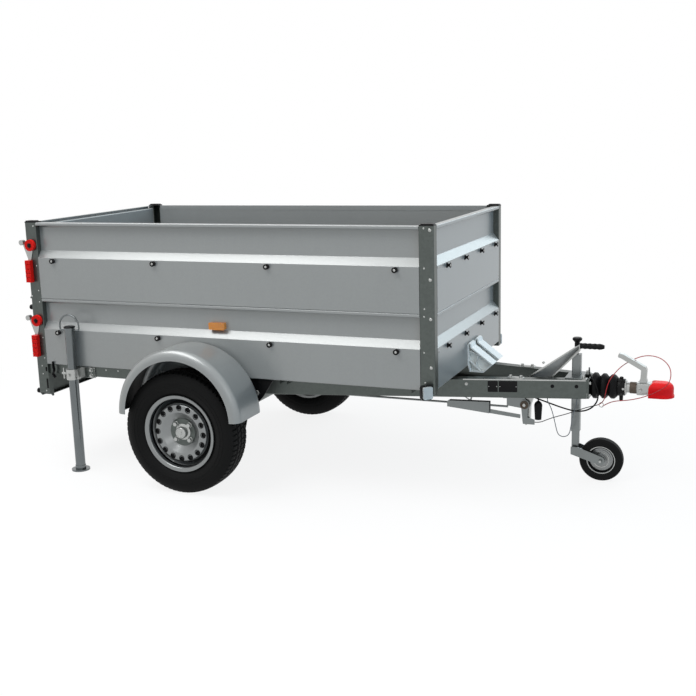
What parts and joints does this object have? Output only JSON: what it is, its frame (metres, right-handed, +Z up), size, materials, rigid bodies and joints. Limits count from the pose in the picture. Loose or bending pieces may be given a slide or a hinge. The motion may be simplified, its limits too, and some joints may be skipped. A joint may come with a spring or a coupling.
{
  "type": "utility trailer",
  "caption": "Galvanised single-axle box trailer with raised sides, hinged tail gates, V drawbar with overrun coupling, handbrake, jockey wheel and rear prop stands.",
  "frame": {"origin": "on the ground, under the middle of the trailer's bounding box", "axes": "+X towards the tow coupling, +Y to the trailer's left, +Z up"},
  "size_m": [3.062, 1.645, 1.237],
  "materials": {
    "galvanised_sheet": "galvanised sheet, soft sheen",
    "galvanised_frame": "hot-dip galvanised, dull grey",
    "zinc_plated": "bright zinc plate",
    "rim_silver": "silver paint",
    "drum_iron": "cast iron, dull",
    "tyre": "matt rubber",
    "black_rubber": "matt rubber",
    "black_plastic": "matt moulding",
    "red_plastic": "glossy moulding",
    "red_rubber": "soft moulding, slight sheen",
    "white_plastic": "moulding",
    "amber_lens": "clear amber moulding",
    "clear_lens": "clear ribbed moulding",
    "red_lens": "clear red and amber moulding",
    "floor_ply": "film-faced plywood",
    "cord_black": "cable sheath",
    "cord_red": "red coated steel wire",
    "cord_grey": "grey coated wire"
  },
  "bodies": {
    "chassis": {"axle_arms": "galvanised_frame", "axle_tube": "galvanised_frame", "bellows": "black_rubber", "brake_bracket": "galvanised_frame", "brake_release_wire": "cord_grey", "brake_rod": "galvanised_frame", "breakaway_cable": "cord_red", "bumper_cap": "red_rubber", "coupling_handle": "zinc_plated", "coupling_head": "zinc_plated", "cross_members": "galvanised_frame", "drawbar_beam_left": "galvanised_frame", "drawbar_beam_right": "galvanised_frame", "front_board_lower": "galvanised_sheet", "front_board_upper": "galvanised_sheet", "front_lamp_bodies": "black_plastic", "front_lamp_lenses": "clear_lens", "front_posts_lower": "galvanised_frame", "front_posts_upper": "galvanised_frame", "gate_hinges": "galvanised_frame", "jockey_guide": "galvanised_frame", "lamp_lead": "cord_black", "lamp_plug": "cord_black", "latch_handles": "red_plastic", "latch_plates": "zinc_plated", "load_floor": "floor_ply", "mudguard_left": "galvanised_sheet", "mudguard_right": "galvanised_sheet", "overrun_housing": "galvanised_frame", "post_caps": "black_plastic", "rear_buffers": "black_rubber", "rear_lamp_board": "galvanised_frame", "rear_lamps": "red_lens", "rear_posts_lower": "galvanised_frame", "rear_posts_upper": "galvanised_frame", "side_board_lower_left": "galvanised_sheet", "side_board_lower_right": "galvanised_sheet", "side_board_upper_left": "galvanised_sheet", "side_board_upper_right": "galvanised_sheet", "side_markers": "amber_lens", "side_rails": "galvanised_frame", "stand_clamps": "galvanised_frame", "tow_shaft": "zinc_plated", "wheel_chocks": "white_plastic"},
    "wheel_right": {"tyre_right": "tyre", "rim_right": "rim_silver", "brake_drum_right": "drum_iron"},
    "wheel_left": {"tyre_left": "tyre", "rim_left": "rim_silver", "brake_drum_left": "drum_iron"},
    "jockey_leg": {"jockey_leg": "galvanised_frame", "jockey_knob": "black_plastic"},
    "jockey_wheel": {"jockey_rim": "rim_silver", "jockey_tyre": "tyre"},
    "stand_right": {"stand_right": "galvanised_frame"},
    "stand_left": {"stand_left": "galvanised_frame"},
    "tailgate_lower": {"tailgate_lower": "galvanised_sheet"},
    "tailgate_upper": {"tailgate_upper": "galvanised_sheet"},
    "handbrake": {"handbrake_lever": "zinc_plated", "handbrake_grip": "black_plastic"}
  },
  "joints": [
    {"name": "wheel_right_spin", "type": "hinge", "parent": "chassis", "child": "wheel_right", "pos_m": [-0.574, -0.705, 0.289], "axis": [0, 1, 0], "continuous": true},
    {"name": "wheel_left_spin", "type": "hinge", "parent": "chassis", "child": "wheel_left", "pos_m": [-0.574, 0.705, 0.289], "axis": [0, 1, 0], "continuous": true},
    {"name": "jockey_lift", "type": "slide", "parent": "chassis", "child": "jockey_leg", "axis": [0, 0, 1], "range_m": [0, 0.15]},
    {"name": "jockey_spin", "type": "hinge", "parent": "jockey_leg", "child": "jockey_wheel", "pos_m": [1.215, 0.015, 0.1], "axis": [0, 1, 0], "continuous": true},
    {"name": "stand_right_lift", "type": "slide", "parent": "chassis", "child": "stand_right", "axis": [0, 0, 1], "range_m": [0, 0.3]},
    {"name": "stand_left_lift", "type": "slide", "parent": "chassis", "child": "stand_left", "axis": [0, 0, 1], "range_m": [0, 0.3]},
    {"name": "tailgate_lower_hinge", "type": "hinge", "parent": "chassis", "child": "tailgate_lower", "pos_m": [-1.522, 0, 0.51], "axis": [0, 1, 0], "range_deg": [-180, 0]},
    {"name": "tailgate_upper_hinge", "type": "hinge", "parent": "chassis", "child": "tailgate_upper", "pos_m": [-1.522, 0, 0.856], "axis": [0, -1, 0], "range_deg": [0, 180]},
    {"name": "handbrake_pull", "type": "hinge", "parent": "chassis", "child": "handbrake", "pos_m": [0.869, -0.038, 0.356], "axis": [0, -1, 0], "range_deg": [0, 40]}
  ]
}
